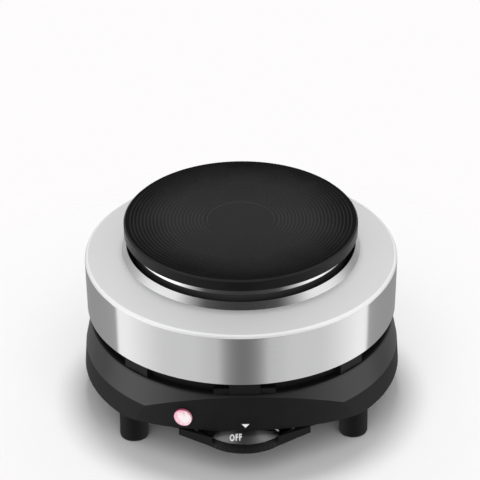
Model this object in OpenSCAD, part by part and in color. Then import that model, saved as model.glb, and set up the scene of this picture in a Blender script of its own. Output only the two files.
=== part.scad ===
// Portable electric hot plate: a cast plate on a steel drum over a black base with a heat dial.
// Millimetres, +Z up. The origin is on the table, on the axis of the plate; the dial faces -Y.

/* [Hot plate] */
// Radius of the cast plate
plate_r = 50; // [40:0.5:60]
// Thickness of the plate at its rim
plate_t = 5.1; // [4:0.1:8]
// Chamfer on the top edge of the plate
plate_chamfer = 0.7; // [0.2:0.1:1.5]
// How far the rim stands out over the skirt
plate_overhang = 4; // [3:0.1:6]
// Depth of the skirt under the rim
skirt_h = 11.9; // [10:0.1:16]
// Wall of the skirt
skirt_wall = 4; // [2:0.1:6]
// Height of the rim above the collar of the shell
plate_lift = 5.8; // [4:0.1:9]
// Number of turned grooves on the top
groove_count = 21; // [6:1:28]
// Width of a groove
groove_w = 0.6; // [0.3:0.05:0.9]
// Depth of a groove
groove_depth = 0.14; // [0.1:0.02:0.5]
// Plain land outside the grooves
land_w = 2.4; // [1.6:0.1:12]
// Radius of the shallow recess in the middle
recess_r = 14.4; // [8:0.1:18]
// Depth of that recess
recess_depth = 0.2; // [0.1:0.05:1]
// Radius of the boss that takes the tie bolt
boss_r = 7; // [5:0.1:9]

/* [Trim ring] */
// Wall of the bright ring under the rim
trim_t = 0.9; // [0.5:0.1:2]
// Height of the bright ring
trim_h = 3.7; // [2:0.1:5]
// Air gap between the ring and the collar of the shell
air_gap = 1.6; // [0.8:0.1:3]

/* [Steel shell] */
// Sheet thickness
sheet_t = 0.8; // [0.5:0.1:1.2]
// Height of the collar round the plate
collar_h = 3; // [2:0.1:5]
// Radial run of the collar slope
collar_run = 2.4; // [1.5:0.1:4]
// Width of the top from the collar to the widest radius
shelf_w = 16; // [12:0.1:24]
// Rise of the top from the edge to the collar
shelf_rise = 2.6; // [0.5:0.1:5]
// Rounding of the top edge
edge_round = 1.6; // [1:0.1:2.5]
// Height of the wall, from its lower edge to the top edge
shell_h = 24.3; // [20:0.1:40]
// How much smaller the lower edge is than the top edge
shell_draft = 0.6; // [0:0.1:3]
// Width of the flange turned in at the lower edge
hem_w = 4.2; // [2:0.1:4.6]

/* [Vent gap] */
// Height of the open gap between shell and base
vent_h = 6.2; // [3:0.1:8]
// Number of standoff tabs
tab_count = 8; // [4:4:12]
// Width of a tab
tab_w = 13; // [8:0.5:16]
// Set-back of the tabs from the edge of the base
tab_inset = 1; // [0.5:0.1:1.4]
// Wall of the upstand behind the gap
upstand_t = 1.6; // [1:0.1:3]
// Height of the upstand above the ledge
upstand_h = 9; // [6:0.1:12]

/* [Base] */
// Set-back of the base's top edge from the shell's lower edge
base_set = 1.2; // [0:0.1:2]
// Height of the lower band
band_h = 9.8; // [6:0.1:14]
// Height of the sloping upper band
slope_h = 12.2; // [10:0.1:20]
// How far the base flares out below its top edge
base_flare = 2.3; // [1:0.1:4]
// How much further it flares down to its lower edge
base_spread = 0.6; // [0:0.1:2]
// Wall thickness
base_wall = 2.4; // [1.6:0.1:3]
// Rounding of the top edge
base_round = 0.9; // [0.3:0.1:1.2]
// Plan radius of the flattened front panel
panel_r = 77; // [72:0.5:95]
// Depth of the front panel behind the widest radius
panel_setback = 2.2; // [1:0.1:3.5]
// Rise of the arch in the lower front edge
arch_rise = 4.4; // [2:0.1:6]
// Half width of that arch
arch_half = 48; // [40:0.5:52]

/* [Cover and feet] */
// Thickness of the bottom cover
cover_t = 1.2; // [0.8:0.1:2]
// How far the front edge of the cover stands back from the panel
cover_back = 6; // [4:0.1:8]
// How far a wing reaches out to the side of the dial
lip_reach = 6.8; // [5:0.1:9]
// Height of a wing above the cover
lip_h = 2.6; // [1:0.1:2.8]
// Wall of a wing
lip_t = 2; // [1:0.1:3]
// How far a wing's lower edge stands above the cover's underside at its outer end
lip_lift = 0.6; // [0:0.1:1]
// How far it hangs below the cover's underside beside the dial
lip_dip = 1.2; // [0:0.1:2]
// Height of a foot
foot_h = 14.8; // [10:0.1:20]
// Radius of a foot
foot_r = 6.2; // [5.6:0.1:8]
// Angle of the feet, measured from the sides
foot_angle = 37.8; // [30:0.1:45]

/* [Dial] */
// Radius of the dial
dial_r = 21; // [16:0.1:23]
// How far the dial reaches out in front of the panel
dial_reach = 6.2; // [4:0.1:9]
// Height of the grip wall
dial_h = 3.9; // [3:0.1:5]
// How far the grip wall hangs below the cover
dial_drop = 2.2; // [1:0.1:3]
// Rise of the cone inside the rim
crown_rise = 3.4; // [2:0.1:3.6]
// Radius of the flat top of the cone
crown_r = 8; // [6.5:0.1:10]
// Number of grip grooves
grip_count = 60; // [24:2:72]
// Radius of a grip groove
grip_r = 0.4; // [0.2:0.05:0.5]
// Radius of the thermostat shaft
shaft_r = 3; // [2.5:0.1:4]

/* [Lamp] */
// Radius of the lamp lens
lens_r = 3.9; // [3:0.1:5]
// Distance of the lamp from the middle of the front
lamp_x = 25.7; // [23:0.1:30]
// Height of the lamp above the lower edge of the base
lamp_rise = 9.3; // [7.5:0.1:11]

/* [Fits] */
// Clearance of parts that are fixed together
fit = 0.1; // [0.05:0.01:0.15]
// Running clearance of the shaft
run = 0.06; // [0.03:0.01:0.1]
// Clearance round the dial in the cover
dial_gap = 1; // [0.6:0.1:2]

/* [Hidden] */
$fn = 96;

// Radii, from the plate outwards
skirt_r = plate_r - plate_overhang;
trim_r = skirt_r + fit + trim_t;
collar_r = trim_r + air_gap;
collar_foot_r = collar_r + collar_run;
shell_r = collar_foot_r + shelf_w;
shell_low_r = shell_r - shell_draft;
base_top_r = shell_low_r - base_set;
base_r = base_top_r + base_flare;
base_low_r = base_r + base_spread;
cover_r = base_low_r - base_wall - fit;
panel_face = base_r - panel_setback;
panel_cy = panel_r - panel_face;
hem_r = shell_low_r - hem_w;
upstand_r = hem_r - 0.4;
groove_pitch = (plate_r - land_w - recess_r) / (groove_count + 0.5);

// Levels, from the table upwards
z_cover = foot_h;
z_base = z_cover + cover_t;
z_low = z_cover;
z_wide = z_base + band_h;
z_ledge = z_wide + slope_h;
z_shell = z_ledge + vent_h;
z_edge = z_shell + shell_h;
z_collar_foot = z_edge + shelf_rise;
z_collar = z_collar_foot + collar_h;
z_rim = z_collar + plate_lift;
z_top = z_rim + plate_t;
z_seat = z_rim - skirt_h;
z_lip = z_base + lip_h;
ledge_t = 2;
tab_deep = base_top_r - tab_inset - upstand_r + upstand_t / 2;
step_back = 0.6;

// Heater, pan, shield and tie bolt
tube_r = 3.2;
tube_inset = 12;
tube_ring_r = skirt_r - skirt_wall - tube_inset;
tube_z = z_rim - tube_r - 0.3;
tube_gap = 40;
leg_low = 6.2;
pan_lip = 1.5;
pan_r = collar_foot_r;
pan_low = z_seat - sheet_t;
pad_r = skirt_r - skirt_wall - 0.3;
pad_h = tube_z - tube_r - 0.2 - z_seat;
shield_gap = 4;
shield_drop = 10;
shield_lip = 2;
shield_r = upstand_r - shield_gap;
shield_z = pan_low - shield_drop;
ferrule_r = 6;
ferrule_h = 2;
ferrule_wall = 0.8;
leg_slim = 0.3;
bolt_r = 2.45;
bolt_depth = 6;
bolt_hole = bolt_r + fit;
spacer_r = 4.5;
nut_h = 4;
nut_r = 4.6;
bolt_end = 1;
washer_h = 1;
washer_r = 6;

// Dial and thermostat
dial_y = -(panel_face + dial_reach - dial_r);
dial_z = z_cover - dial_drop;
lip_half = dial_r + lip_reach;
lip_y = panel_cy - sqrt(panel_r * panel_r - lip_half * lip_half);
lip_span = norm([lip_half, dial_y - lip_y]);
lip_touch = dial_r + 0.6 * dial_gap;
lip_run = sqrt(lip_span * lip_span - lip_touch * lip_touch);
lip_turn = atan2(dial_y - lip_y, lip_half) - asin(lip_touch / lip_span);
cover_curve = 1.075 * panel_r;
dial_rim_z = dial_z + dial_h;
crown_z = dial_rim_z - 0.6;
crown_top = crown_z + crown_rise + 0.6;
hub_r = shaft_r + 3.4;
hub_low = dial_z + 0.8;
web_t = 1.2;
shaft_low = hub_low + web_t;
flat_depth = 0.8;
shaft_step = 0.2;
arm_t = 1.2;
nut_gap = 0.6;
bush_nut_h = 1.8;
bush_nut_r = 7;
arm_z = crown_top + nut_gap + bush_nut_h;
arm_half = 11;
arm_front = 8.4;
arm_back = dial_y + dial_r + dial_gap + 1.4;
arm_foot = 10;
screw_r = 1.4;
screw_head_r = 2.6;
screw_head_h = 1.5;
screw_tail = 2;
bush_r = shaft_r + 1.2;
bush_flange = 0.8;
body_z = arm_z + arm_t;
body_x = 22;
body_y = 16.8;
body_h = 9;
well_r = 6.6;
well_depth = 4;
cam_r = 4.6;
cam_off = 0.8;
cam_t = 2;
cam_z = body_z + body_h - well_depth + 0.6;
pin_r = shaft_r - 0.8;
leaf_z = body_z + body_h;
leaf_t = 0.5;
leaf_w = 5;
leaf_edge = 0.6;
leaf_hole = 2.6;
leaf_screw_r = 1;
leaf_screw_l = 4;
leaf_head_r = 1.9;
leaf_head_h = 1.2;
dial_screw_r = 1.4;
dial_head_r = 2.7;
dial_head_h = 1.4;
dial_screw_l = 4;

// Lamp, aimed along the panel's own normal
lamp_turn = asin(lamp_x / panel_r);
lamp_z = z_base + lamp_rise;
lens_dome = 1.6;
lens_ball = 6.5;
lens_stand = 0.25;
lens_flange = 0.8;
lamp_body_r = lens_r - 0.7;
lamp_len = 17;
clip_r = lens_r + 1;
clip_t = 1;

// Cord inlet and terminal block at the rear
gland_z = z_base + 11;
gland_tip = panel_face + dial_reach;
gland_r = 5;
gland_bore = 3.4;
gland_flange = base_low_r - 0.2;
gland_in = 9;
gland_nut_t = 3;
gland_nut_r = gland_r + 3;
nut_seat = 0.35;
block_x = 30;
block_y = 12;
block_h = 11;
cord_room = 10.4;
block_cy = base_r - gland_in - cord_room - block_y / 2;
pole_gap = 9;
pole_r = 1.6;
pole_depth = 4;
pole_head_r = 3;
pole_head_h = 1.6;
wire_r = 0.9;
thin_r = 0.6;
lead_out = 7;
lead_side = 17;
lead_way = 10;
lead_low = 6;
lead_up = 8;
tap_gap = 6;
pin_gap = 1.6;

// Screws through the feet
foot_ring = cover_r - foot_r;
foot_screw_r = 1.9;
foot_head_r = 3.5;
foot_head_h = 2.4;
foot_sink = 9;
boss_h = 13;
boss_out = foot_screw_r + 2.6;

// Radius of the base's outer face at a height
function base_out(z) =
    z < z_wide
    ? base_low_r - base_spread * (z - z_low) / (z_wide - z_low)
    : base_r - base_flare * (z - z_wide) / slope_h;

// A smooth route through chosen points
function unit(v) = v / norm(v);
function bend(a, b, c, d, t) =
    0.5 * (2 * b + (c - a) * t + (2 * a - 5 * b + 4 * c - d) * t * t + (3 * b - a - 3 * c + d) * t * t * t);
function route(p, n) = [
    for (i = [0 : len(p) - 2])
    for (k = [0 : n - 1])
    bend(p[max(i - 1, 0)], p[i], p[i + 1], p[min(i + 2, len(p) - 1)], k / n),
    p[len(p) - 1]
];

// A tube of eight sides along a route, with square ends
module wire(p, r, steps = 5) {
    q = route(p, steps);
    m = len(q);
    way = [
        for (i = [0 : m - 1])
        i == 0 ? unit(p[1] - p[0])
        : i == m - 1 ? unit(p[len(p) - 1] - p[len(p) - 2])
        : unit(q[i + 1] - q[i - 1])
    ];
    first = unit(cross(way[0], abs(way[0].z) > 0.8 ? [1, 0, 0] : [0, 0, 1]));
    side = [
        for (i = 0, v = first; i < m; i = i + 1,
             v = i < m ? unit(v - (v * way[i]) * way[i]) : v) v
    ];
    pts = [
        for (i = [0 : m - 1])
        for (a = [0 : 45 : 315])
        q[i] + r * (cos(a) * side[i] + sin(a) * cross(way[i], side[i]))
    ];
    walls = [
        for (i = [0 : m - 2])
        for (k = [0 : 7])
        for (h = [0, 1])
        h == 0
        ? [i * 8 + k, (i + 1) * 8 + k, i * 8 + (k + 1) % 8]
        : [i * 8 + (k + 1) % 8, (i + 1) * 8 + k, (i + 1) * 8 + (k + 1) % 8]
    ];
    caps = [
        for (k = [1 : 6])
        for (h = [0, 1])
        h == 0 ? [0, k, k + 1] : [(m - 1) * 8, (m - 1) * 8 + k + 1, (m - 1) * 8 + k]
    ];
    polyhedron(points = pts, faces = concat(walls, caps));
}

// A round tube standing on a level
module tube(outer, inner, z, h) {
    translate([0, 0, z])
        difference() {
            cylinder(h = h, r = outer);
            translate([0, 0, -1])
                cylinder(h = h + 2, r = inner);
        }
}

// Positions of the feet: right front, left front, right rear, left rear
function foot_at(i) = [
    (i % 2 == 0 ? 1 : -1) * foot_ring * cos(foot_angle),
    (i < 2 ? -1 : 1) * foot_ring * sin(foot_angle)
];

// Positions of the two cold ends of the heater
function leg_at(i) = [
    tube_ring_r * cos(90 + (i == 0 ? -1 : 1) * tube_gap / 2),
    tube_ring_r * sin(90 + (i == 0 ? -1 : 1) * tube_gap / 2)
];

module at_feet() {
    for (i = [0 : 3])
        translate(foot_at(i))
            children();
}

module at_legs() {
    for (i = [0, 1])
        translate(leg_at(i))
            children();
}

// Puts children on the lamp's axis, looking out along +Z
module on_lamp() {
    translate([0, panel_cy, lamp_z])
        rotate([0, 0, -lamp_turn])
            translate([0, -panel_r, 0])
                rotate([90, 0, 0])
                    children();
}

// Puts children on the axis of the cord inlet, looking out along +Z
module on_gland() {
    translate([0, 0, gland_z])
        rotate([-90, 0, 0])
            children();
}

module hot_plate() {
    rings = [
        for (i = [0 : groove_count - 1])
        for (k = [0 : 2])
        [
            plate_r - land_w - i * groove_pitch - k * groove_w / 2,
            z_top - (k == 1 ? groove_depth : 0)
        ]
    ];
    color("#2d2d2f")
        union() {
            rotate_extrude()
                polygon(concat(
                    [
                        [0, z_rim], [skirt_r - skirt_wall, z_rim], [skirt_r - skirt_wall, z_seat],
                        [skirt_r, z_seat], [skirt_r, z_rim], [plate_r, z_rim],
                        [plate_r, z_top - plate_chamfer], [plate_r - plate_chamfer, z_top]
                    ],
                    rings,
                    [
                        [recess_r, z_top], [recess_r - recess_depth, z_top - recess_depth],
                        [0, z_top - recess_depth]
                    ]
                ));
            tube(boss_r, bolt_hole, z_seat, skirt_h + 0.5);
        }
}

module trim_ring() {
    color("#d8d8da")
        tube(trim_r, skirt_r + fit, z_rim - trim_h, trim_h);
}

module heater_tube() {
    color("#8a8378") {
        translate([0, 0, tube_z])
            rotate([0, 0, 90 + tube_gap / 2])
                rotate_extrude(angle = 360 - tube_gap)
                    translate([tube_ring_r, 0])
                        circle(r = tube_r, $fn = 48);
        at_legs()
            translate([0, 0, pan_low - leg_low])
                cylinder(h = tube_z + tube_r - 0.4 - pan_low + leg_low, r = tube_r - leg_slim);
    }
}

module heater_ferrules() {
    color("#e9e4d8")
        at_legs()
            difference() {
                union() {
                    translate([0, 0, pan_low - ferrule_h])
                        cylinder(h = ferrule_h, r = ferrule_r);
                    translate([0, 0, pan_low - ferrule_h])
                        cylinder(h = ferrule_h + sheet_t, r = tube_r + ferrule_wall);
                }
                translate([0, 0, pan_low - ferrule_h - 1])
                    cylinder(h = ferrule_h + sheet_t + 2, r = tube_r - leg_slim + fit);
            }
}

module insulation_pad() {
    color("#cfc8b8")
        difference() {
            tube(pad_r, boss_r + 0.3, z_seat, pad_h);
            at_legs()
                translate([0, 0, z_seat - 1])
                    cylinder(h = pad_h + 2, r = tube_r + 0.3);
        }
}

module heat_pan() {
    color("#b9bcc0")
        difference() {
            union() {
                translate([0, 0, pan_low])
                    cylinder(h = sheet_t, r = pan_r);
                tube(pan_r, pan_r - sheet_t, pan_low, sheet_t + pan_lip);
            }
            translate([0, 0, pan_low - 1])
                cylinder(h = sheet_t + 2, r = bolt_hole);
            at_legs()
                translate([0, 0, pan_low - 1])
                    cylinder(h = sheet_t + 2, r = tube_r + ferrule_wall + fit);
        }
}

module tie_bolt() {
    color("#a8abb0")
        translate([0, 0, z_cover - washer_h - nut_h - bolt_end])
            cylinder(h = z_rim - bolt_depth - z_cover + washer_h + nut_h + bolt_end, r = bolt_r);
}

module upper_spacer() {
    color("#b0b3b8")
        tube(spacer_r, bolt_hole, shield_z + sheet_t, pan_low - shield_z - sheet_t);
}

module heat_shield() {
    color("#c4c7cb")
        difference() {
            union() {
                translate([0, 0, shield_z])
                    cylinder(h = sheet_t, r = shield_r);
                tube(shield_r, shield_r - sheet_t, shield_z, sheet_t + shield_lip);
            }
            translate([0, 0, shield_z - 1])
                cylinder(h = sheet_t + 2, r = bolt_hole);
            at_legs()
                translate([0, 0, shield_z - 1])
                    cylinder(h = sheet_t + 2, r = tube_r + 2 * ferrule_wall);
        }
}

module lower_spacer() {
    color("#b0b3b8")
        tube(spacer_r, bolt_hole, z_base, shield_z - z_base);
}

module tie_washer() {
    color("#b0b3b8")
        tube(washer_r, bolt_hole, z_cover - washer_h, washer_h);
}

module tie_nut() {
    color("#a8abb0")
        translate([0, 0, z_cover - washer_h - nut_h])
            difference() {
                cylinder(h = nut_h, r = nut_r, $fn = 6);
                translate([0, 0, -1])
                    cylinder(h = nut_h + 2, r = bolt_hole);
            }
}

// Half section of the pressed sheet: collar, top, rounded edge, wall and turned-in flange
module shell_section() {
    lean = atan2(shelf_rise, shelf_w - edge_round);
    wall_lean = atan2(shell_draft, shell_h - edge_round);
    cx = shell_r - edge_round;
    cz = z_edge - edge_round;
    outer = concat(
        [
            [collar_r, z_seat], [collar_r, z_collar - 0.5], [collar_r + 0.15, z_collar - 0.12],
            [collar_r + 0.5, z_collar], [collar_foot_r, z_collar_foot]
        ],
        [for (a = [90 - lean : -10 : -wall_lean]) [cx + edge_round * cos(a), cz + edge_round * sin(a)]],
        [[shell_low_r, z_shell], [hem_r, z_shell]]
    );
    inner_r = edge_round - sheet_t;
    inner = concat(
        [[hem_r, z_shell + sheet_t], [shell_low_r - sheet_t, z_shell + sheet_t]],
        [for (a = [-wall_lean : 10 : 90 - lean]) [cx + inner_r * cos(a), cz + inner_r * sin(a)]],
        [
            [collar_foot_r - 0.2, z_collar_foot - sheet_t], [collar_r + sheet_t, z_collar - sheet_t - 0.6],
            [collar_r + sheet_t, z_seat]
        ]
    );
    polygon(concat(outer, inner));
}

module steel_shell() {
    color("#d4d5d6")
        rotate_extrude()
            shell_section();
}

// Half section of the base ring: sloping band, lower band, ledge and upstand
module base_section() {
    k = base_round;
    polygon([
        [base_top_r - k, z_ledge], [base_top_r - 0.3 * k, z_ledge - 0.3 * k], [base_top_r + 0.1, z_ledge - k],
        [base_r - 0.2, z_wide + 0.8], [base_r, z_wide - 0.2],
        [base_low_r, z_low + 0.5], [base_low_r - 0.5, z_low],
        [base_low_r - base_wall, z_low], [base_r - base_wall, z_wide],
        [base_out(z_ledge - ledge_t) - base_wall, z_ledge - ledge_t],
        [upstand_r - upstand_t, z_ledge - ledge_t],
        [upstand_r - upstand_t, z_ledge + upstand_h], [upstand_r, z_ledge + upstand_h], [upstand_r, z_ledge]
    ]);
}

// The solid that the front of the base is trimmed to
module front_trim(r) {
    translate([0, panel_cy, z_base - 5])
        cylinder(h = z_shell - z_base + 30, r = r, $fn = 180);
}

// The tool that arches the lower front edge
module arch_cut(raise = 0) {
    arch_r = (arch_half * arch_half + arch_rise * arch_rise) / (2 * arch_rise);
    translate([0, -panel_face / 2, z_base + arch_rise + raise - arch_r])
        rotate([90, 0, 0])
            cylinder(h = base_r, r = arch_r, $fn = 180);
}

module base_housing() {
    color("#26272a")
        difference() {
            union() {
                intersection() {
                    rotate_extrude()
                        base_section();
                    front_trim(panel_r);
                }
                // Second skin that keeps the wall whole behind the flattened front
                difference() {
                    intersection() {
                        rotate_extrude()
                            polygon([
                                [base_low_r - 3 * base_wall, z_base], [base_out(z_base) - 0.2, z_base],
                                [base_r - 0.2, z_wide], [base_top_r - 0.2, z_ledge - ledge_t],
                                [base_low_r - 3 * base_wall, z_ledge - ledge_t]
                            ]);
                        front_trim(panel_r);
                    }
                    front_trim(panel_r - base_wall);
                    translate([-base_r - 1, 0, z_base - 1])
                        cube([2 * base_r + 2, base_r + 1, z_ledge - z_base + 2]);
                }
                for (i = [0 : tab_count - 1])
                    rotate([0, 0, i * 360 / tab_count])
                        translate([-tab_w / 2, -base_top_r + tab_inset, z_ledge - 0.5])
                            cube([tab_w, tab_deep, vent_h + 0.5]);
                translate([-tab_w, -base_top_r + tab_inset + step_back, z_ledge - 0.5])
                    cube([2 * tab_w, tab_deep - step_back, 0.4 * vent_h + 0.5]);
                for (i = [0 : 3])
                    translate(concat(foot_at(i), z_base)) {
                        cylinder(h = boss_h, r = boss_out);
                        rotate([0, 0, atan2(foot_at(i).y, foot_at(i).x)])
                            translate([0, -1.2, 0])
                                cube([foot_r + base_wall / 2, 2.4, boss_h - 3]);
                    }
            }
            arch_cut();
            at_feet()
                translate([0, 0, z_base - 1])
                    cylinder(h = boss_h - 1, r = foot_screw_r + fit);
            on_lamp()
                translate([0, 0, -base_wall - 3])
                    cylinder(h = base_wall + 6, r = lamp_body_r + fit);
            on_gland()
                translate([0, 0, base_r - base_wall - 6])
                    cylinder(h = base_wall + 10, r = gland_r + fit);
        }
}

// Puts children at the outer end of each wing, with +X along the wing towards the dial
module at_wings() {
    for (s = [0, 1])
        mirror([s, 0, 0])
            translate([-lip_half, lip_y, 0])
                rotate([0, 0, lip_turn])
                    children();
}

module bottom_cover() {
    color("#232427")
        difference() {
            union() {
                translate([0, 0, z_cover])
                    intersection() {
                        cylinder(h = cover_t, r = cover_r);
                        translate([0, cover_curve - panel_face + cover_back, -1])
                            cylinder(h = cover_t + 2, r = cover_curve, $fn = 180);
                    }
                at_wings() {
                    translate([0, lip_t, 0])
                        rotate([90, 0, 0])
                            linear_extrude(height = lip_t)
                                polygon([
                                    [0, z_cover + lip_lift], [lip_run, z_cover - lip_dip],
                                    [lip_run, z_lip], [0, z_lip]
                                ]);
                    translate([lip_t, lip_t / 2, z_cover + 0.15 * cover_t])
                        cube([lip_run - lip_t, 2 * cover_back, 0.7 * cover_t]);
                }
            }
            translate([0, dial_y, dial_z - 1])
                cylinder(h = z_lip - dial_z + 2, r = dial_r + dial_gap);
            translate([0, 0, z_cover - 1])
                cylinder(h = cover_t + 2, r = bolt_hole);
            at_feet()
                translate([0, 0, z_cover - 1])
                    cylinder(h = cover_t + 2, r = foot_screw_r + fit);
            for (s = [-1, 1])
                translate([s * arm_half / 2, arm_back + arm_foot / 2, z_cover - 1])
                    cylinder(h = cover_t + 2, r = screw_r + fit);
        }
}

module foot(i) {
    color("#1f2023")
        translate(foot_at(i))
            rotate_extrude()
                polygon([
                    [foot_head_r + 0.4, 0], [foot_r - 1, 0], [foot_r - 0.3, 0.3], [foot_r, 1],
                    [foot_r, foot_h], [foot_screw_r + fit, foot_h],
                    [foot_screw_r + fit, foot_sink], [foot_head_r + 0.4, foot_sink]
                ]);
}

module foot_screws() {
    color("#9fa2a6")
        at_feet()
            union() {
                translate([0, 0, foot_sink - foot_head_h])
                    cylinder(h = foot_head_h, r = foot_head_r);
                translate([0, 0, foot_sink - 0.5])
                    cylinder(h = z_base + boss_h - 3 - foot_sink + 0.5, r = foot_screw_r);
            }
}

// Round shaft outline with one flat
module shaft_outline(grow) {
    difference() {
        circle(r = shaft_r + grow);
        translate([-shaft_r - 1, shaft_r - flat_depth + grow])
            square([2 * shaft_r + 2, shaft_r]);
    }
}

module control_dial() {
    rim_in = dial_r - 1.8;
    color("#222326")
        translate([0, dial_y, 0])
            difference() {
                intersection() {
                    rotate_extrude()
                        polygon([
                            [0, hub_low], [hub_r, hub_low], [hub_r, crown_top - 2.4],
                            [rim_in - 1, crown_z - 1.6], [rim_in - 1, dial_z],
                            [dial_r - 0.4, dial_z], [dial_r, dial_z + 0.4],
                            [dial_r, dial_rim_z - 0.9], [dial_r - 0.9, dial_rim_z],
                            [rim_in + 0.2, dial_rim_z], [rim_in - 0.4, crown_z],
                            [crown_r, crown_top - 0.6], [crown_r - 0.6, crown_top], [0, crown_top]
                        ]);
                    translate([0, 0, dial_z - 1])
                        linear_extrude(height = crown_top - dial_z + 2)
                            difference() {
                                circle(r = dial_r + 1);
                                for (i = [0 : grip_count - 1])
                                    rotate((i + 0.5) * 360 / grip_count)
                                        translate([dial_r + 0.15, 0])
                                            circle(r = grip_r, $fn = 24);
                            }
                }
                translate([0, 0, shaft_low])
                    linear_extrude(height = crown_top - shaft_low + 1)
                        shaft_outline(0.03);
                translate([0, 0, hub_low - 1])
                    cylinder(h = web_t + 2, r = dial_screw_r + fit);
            }
}

module dial_screw() {
    color("#a8abb0")
        translate([0, dial_y, 0])
            union() {
                translate([0, 0, hub_low - dial_head_h])
                    cylinder(h = dial_head_h, r = dial_head_r);
                translate([0, 0, hub_low - 0.5])
                    cylinder(h = web_t + dial_screw_l + 0.5, r = dial_screw_r);
            }
}

module thermostat_shaft() {
    color("#b5a56a")
        translate([0, dial_y, 0])
            difference() {
                union() {
                    translate([0, 0, shaft_low])
                        linear_extrude(height = crown_top + shaft_step - shaft_low)
                            shaft_outline(0);
                    translate([0, 0, crown_top + shaft_step])
                        cylinder(h = cam_z - crown_top - shaft_step, r = shaft_r);
                    translate([0, 0, cam_z - 0.5])
                        cylinder(h = cam_t + 0.5, r = pin_r);
                }
                translate([0, 0, shaft_low - 1])
                    cylinder(h = dial_screw_l + 2, r = dial_screw_r + 0.05);
            }
}

module shaft_cam() {
    color("#d8cfb0")
        translate([0, dial_y, cam_z])
            difference() {
                translate([0, cam_off, 0])
                    cylinder(h = cam_t, r = cam_r);
                translate([0, 0, -1])
                    cylinder(h = cam_t + 2, r = pin_r + 0.05);
            }
}

module thermostat_bracket() {
    color("#b4b7bb")
        difference() {
            union() {
                translate([-arm_half, arm_back, z_base])
                    cube([2 * arm_half, arm_foot, arm_t]);
                translate([-arm_half, arm_back, z_base])
                    cube([2 * arm_half, arm_t, arm_z - z_base + arm_t]);
                translate([-arm_half, dial_y - arm_front, arm_z])
                    cube([2 * arm_half, arm_back + arm_t - dial_y + arm_front, arm_t]);
            }
            translate([0, dial_y, arm_z - 1])
                cylinder(h = arm_t + 2, r = bush_r + fit);
            for (s = [-1, 1])
                translate([s * arm_half / 2, arm_back + arm_foot / 2, z_base - 1])
                    cylinder(h = arm_t + 2, r = screw_r + fit);
        }
}

module bracket_screws() {
    color("#a8abb0")
        for (s = [-1, 1])
            translate([s * arm_half / 2, arm_back + arm_foot / 2, 0])
                union() {
                    translate([0, 0, z_cover - screw_head_h])
                        cylinder(h = screw_head_h, r = screw_head_r);
                    translate([0, 0, z_cover - 0.5])
                        cylinder(h = cover_t + arm_t + screw_tail + 0.5, r = screw_r);
                }
}

module thermostat_bush() {
    color("#b98f3e")
        translate([0, dial_y, 0])
            difference() {
                union() {
                    translate([0, 0, crown_top + nut_gap])
                        cylinder(h = arm_z + arm_t - crown_top - nut_gap, r = bush_r);
                    translate([0, 0, arm_z + arm_t])
                        cylinder(h = bush_flange, r = bush_r + 1);
                }
                translate([0, 0, crown_top])
                    cylinder(h = arm_z + arm_t - crown_top + bush_flange + 1, r = shaft_r + run);
            }
}

module bush_nut() {
    color("#b98f3e")
        translate([0, dial_y, crown_top + nut_gap])
            difference() {
                cylinder(h = bush_nut_h, r = bush_nut_r, $fn = 6);
                translate([0, 0, -1])
                    cylinder(h = bush_nut_h + 2, r = bush_r + fit);
            }
}

module thermostat_body() {
    color("#e6dfd0")
        translate([0, dial_y, body_z])
            difference() {
                translate([-body_x / 2, -body_y / 2, 0])
                    cube([body_x, body_y, body_h]);
                translate([0, 0, -1])
                    cylinder(h = body_h + 2, r = shaft_r + 0.6);
                translate([0, 0, -1])
                    cylinder(h = bush_flange + 1 + fit, r = bush_r + 1 + 2 * fit);
                translate([0, 0, body_h - well_depth])
                    cylinder(h = well_depth + 1, r = well_r);
                translate([body_x / 2 - leaf_hole, 0, body_h - leaf_screw_l - 1])
                    cylinder(h = leaf_screw_l + 2, r = leaf_screw_r + fit);
            }
}

module contact_leaf() {
    color("#c58d4f")
        difference() {
            translate([-body_x / 2 + leaf_edge, dial_y - leaf_w / 2, leaf_z])
                cube([body_x - 2 * leaf_edge, leaf_w, leaf_t]);
            translate([body_x / 2 - leaf_hole, dial_y, leaf_z - 1])
                cylinder(h = leaf_t + 2, r = leaf_screw_r + fit);
        }
}

module leaf_screw() {
    color("#a8abb0")
        translate([body_x / 2 - leaf_hole, dial_y, 0])
            union() {
                translate([0, 0, leaf_z + leaf_t])
                    cylinder(h = leaf_head_h, r = leaf_head_r);
                translate([0, 0, leaf_z - leaf_screw_l])
                    cylinder(h = leaf_screw_l + leaf_t + 0.5, r = leaf_screw_r);
            }
}

module lamp_lens() {
    color("#e9a6b4")
        on_lamp()
            union() {
                intersection() {
                    translate([0, 0, lens_stand])
                        cylinder(h = lens_flange + lens_dome, r = lens_r);
                    translate([0, 0, lens_flange + lens_dome + lens_stand - lens_ball])
                        sphere(r = lens_ball);
                }
            }
}

module lamp_housing() {
    color("#d9d4c8")
        on_lamp()
            translate([0, 0, lens_stand - lamp_len])
                cylinder(h = lamp_len, r = lamp_body_r);
}

module lamp_clip() {
    color("#9a9da1")
        on_lamp()
            translate([0, 0, -base_wall - 0.3 - clip_t])
                difference() {
                    cylinder(h = clip_t, r = clip_r);
                    translate([0, 0, -1])
                        cylinder(h = clip_t + 2, r = lamp_body_r + fit);
                }
}

module cord_gland() {
    color("#1c1d1f")
        on_gland()
            difference() {
                union() {
                    translate([0, 0, base_r - gland_in])
                        cylinder(h = gland_in + 1, r = gland_r);
                    translate([0, 0, gland_flange])
                        cylinder(h = 1.8, r = gland_r + 2.2);
                    translate([0, 0, gland_flange])
                        cylinder(h = gland_tip - gland_flange, r = gland_r + 0.6);
                }
                translate([0, 0, base_r - gland_in - 1])
                    cylinder(h = gland_tip - base_r + gland_in + 2, r = gland_bore);
            }
}

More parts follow.
